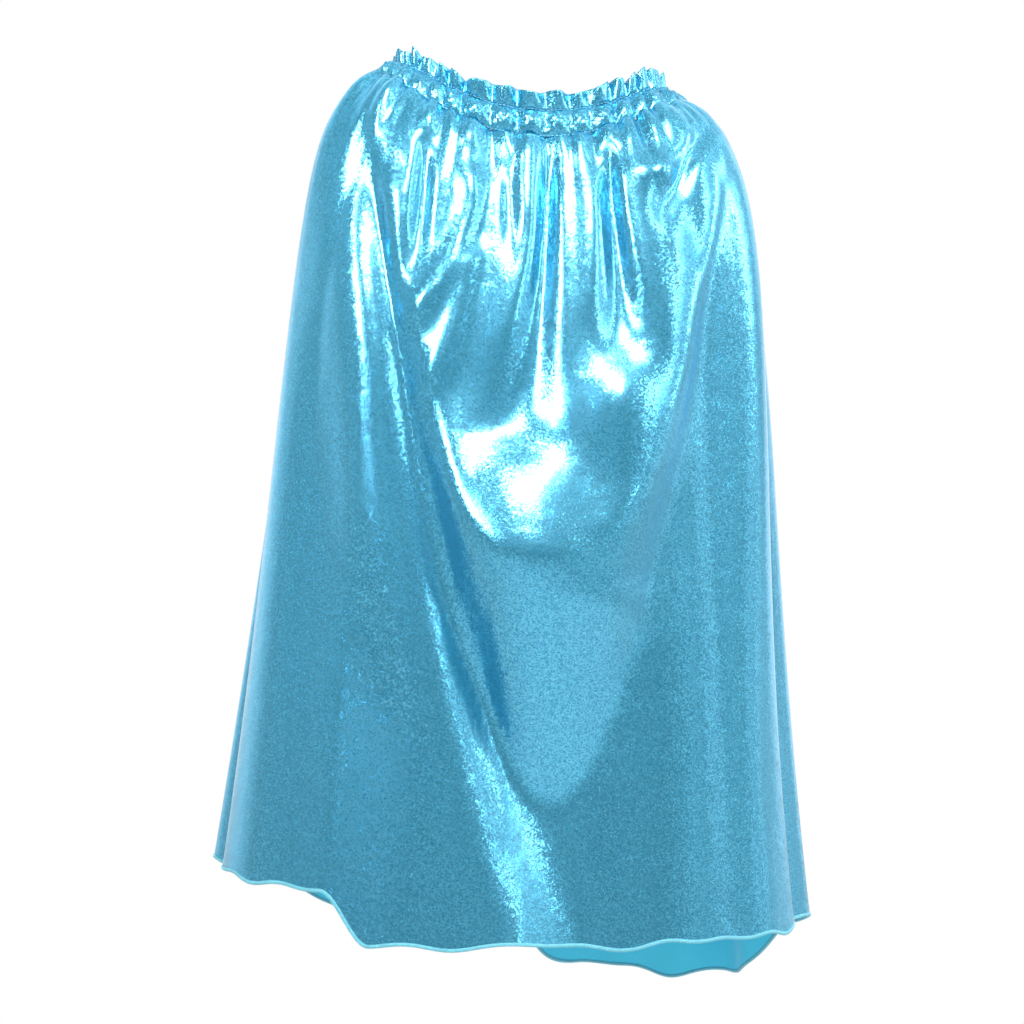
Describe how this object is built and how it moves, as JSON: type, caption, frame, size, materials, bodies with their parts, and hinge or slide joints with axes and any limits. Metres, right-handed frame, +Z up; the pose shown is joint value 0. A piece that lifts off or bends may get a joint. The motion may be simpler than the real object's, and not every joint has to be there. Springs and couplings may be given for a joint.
{
  "type": "superhero cape",
  "caption": "Child's superhero cape of foil-printed knit, gathered into an elastic neck casing with a ruffle heading, rolled overlock hem and hook-and-loop throat closure.",
  "frame": {"origin": "centre of the neck opening, where the cape hangs from a wearer's neck and shoulders", "axes": "+Z up, from the hem towards the neck; +Y towards the throat opening, the way a wearer faces; +X to the wearer's right"},
  "size_m": [0.4772, 0.3164, 0.7889],
  "materials": {
    "foil_knit": "light blue knit with a metallic foil print outside, matte bright blue inside",
    "woven_elastic": "white woven elastic braid",
    "sewing_thread": "light blue polyester sewing thread",
    "overlock_thread": "pale mint textured overlock thread",
    "hook_tape": "pale woven tape with nylon hooks",
    "loop_tape": "pale brushed nylon loop tape",
    "label_satin": "white satin ribbon, blank"
  },
  "bodies": {
    "cape": {"cape_panel": "foil_knit", "ruffle_heading": "foil_knit", "neck_casing": "foil_knit", "neck_elastic": "woven_elastic", "casing_upper_stitching": "sewing_thread", "casing_lower_stitching": "sewing_thread", "hem_overlock": "overlock_thread", "front_edge_overlock_left": "overlock_thread", "front_edge_overlock_right": "overlock_thread", "closure_tab_root": "foil_knit", "closure_root_stitching": "sewing_thread", "loop_tape": "loop_tape", "loop_tape_stitching": "sewing_thread", "elastic_bartack_left": "sewing_thread", "elastic_bartack_right": "sewing_thread", "care_label_stitching": "sewing_thread"},
    "closure_flap": {"closure_flap": "foil_knit", "hook_tape": "hook_tape", "hook_tape_stitching": "sewing_thread"},
    "care_label": {"care_label": "label_satin"}
  },
  "joints": [
    {"name": "closure_peel", "type": "hinge", "parent": "cape", "child": "closure_flap", "pos_m": [0.0065, 0.07567, -0.04312], "axis": [0, 0.342, -0.9397], "range_deg": [0, 150]},
    {"name": "care_label_flip", "type": "hinge", "parent": "cape", "child": "care_label", "pos_m": [-0.001, -0.07101, -0.01366], "axis": [1, 0, 0], "range_deg": [-5, 120]}
  ]
}
